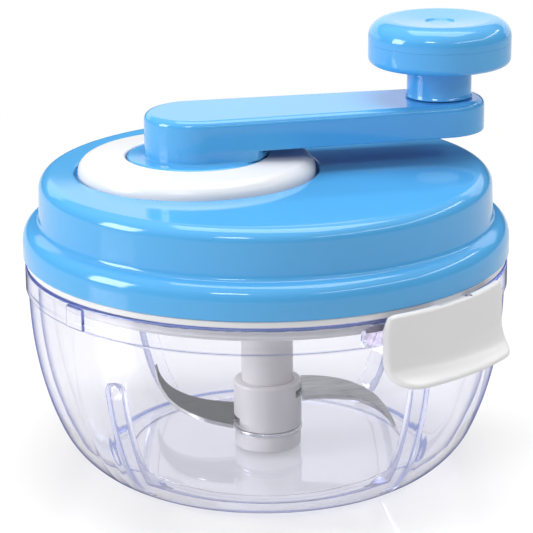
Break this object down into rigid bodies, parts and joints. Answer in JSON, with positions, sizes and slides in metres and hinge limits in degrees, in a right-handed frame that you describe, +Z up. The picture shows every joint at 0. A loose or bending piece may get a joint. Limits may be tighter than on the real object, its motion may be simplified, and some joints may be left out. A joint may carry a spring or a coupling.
{
  "type": "manual food chopper",
  "caption": "Hand cranked food chopper: clear bowl, latched lid with an offset crank and round knob, step-up gears and a blade post with curved blades.",
  "frame": {"origin": "centre of the bowl's foot on the table", "axes": "+Z up along the bowl's axis, -Y towards the front as seen in use, +X towards the side that the crank's knob points to at rest"},
  "size_m": [0.1327, 0.1314, 0.1194],
  "materials": {
    "clear_plastic": "clear moulded plastic, polished",
    "blue_plastic": "light blue moulded plastic, glossy",
    "white_plastic": "white moulded plastic, satin to glossy",
    "gear_plastic": "natural low-friction moulded plastic",
    "silicone": "soft white silicone",
    "blade_steel": "brushed stainless steel sheet",
    "bright_steel": "turned or stamped stainless steel"
  },
  "bodies": {
    "bowl": {"bowl": "clear_plastic", "pivot_pin": "bright_steel"},
    "blades": {"blade_foot": "white_plastic", "blade_plate": "bright_steel", "blade_collar": "white_plastic", "blade_post": "white_plastic", "upper_blade": "blade_steel", "lower_blade": "blade_steel"},
    "lid": {"lid_base": "white_plastic", "lid_gasket": "silicone", "lid_cover": "blue_plastic", "trim_ring": "white_plastic", "latch_pin_right": "bright_steel", "latch_pin_left": "bright_steel"},
    "crank": {"crank_arm": "blue_plastic", "ring_gear": "gear_plastic", "crank_washer": "bright_steel", "crank_screw": "bright_steel", "knob_spindle": "bright_steel"},
    "knob": {"knob_body": "blue_plastic", "knob_cap": "blue_plastic"},
    "pinion": {"pinion": "gear_plastic", "pinion_clip": "bright_steel"},
    "latch_right": {"latch_right": "white_plastic"},
    "latch_left": {"latch_left": "white_plastic"}
  },
  "joints": [
    {"name": "lid_lift", "type": "slide", "parent": "bowl", "child": "lid", "axis": [0, 0, 1], "range_m": [0, 0.08]},
    {"name": "crank_turn", "type": "hinge", "parent": "lid", "child": "crank", "pos_m": [-0.0184, 0, 0.0815], "axis": [0, 0, 1], "continuous": true},
    {"name": "pinion_spin", "type": "hinge", "parent": "lid", "child": "pinion", "pos_m": [0, 0, 0.0695], "axis": [0, 0, 1], "continuous": true},
    {"name": "blade_spin", "type": "hinge", "parent": "bowl", "child": "blades", "pos_m": [0, 0, 0.0029], "axis": [0, 0, 1], "continuous": true},
    {"name": "knob_spin", "type": "hinge", "parent": "crank", "child": "knob", "pos_m": [0.04765, 0.0144, 0.1], "axis": [0, 0, 1], "continuous": true},
    {"name": "latch_right_swing", "type": "hinge", "parent": "lid", "child": "latch_right", "pos_m": [0.047, -0.04782, 0.0581], "axis": [-0.7133, -0.7009, 0], "range_deg": [0, 95]},
    {"name": "latch_left_swing", "type": "hinge", "parent": "lid", "child": "latch_left", "pos_m": [-0.047, 0.04782, 0.0581], "axis": [0.7133, 0.7009, 0], "range_deg": [0, 95]}
  ],
  "couplings": [
    {"joint": "pinion_spin", "follows": "crank_turn", "ratio": 3.2857},
    {"joint": "blade_spin", "follows": "crank_turn", "ratio": 3.2857}
  ]
}
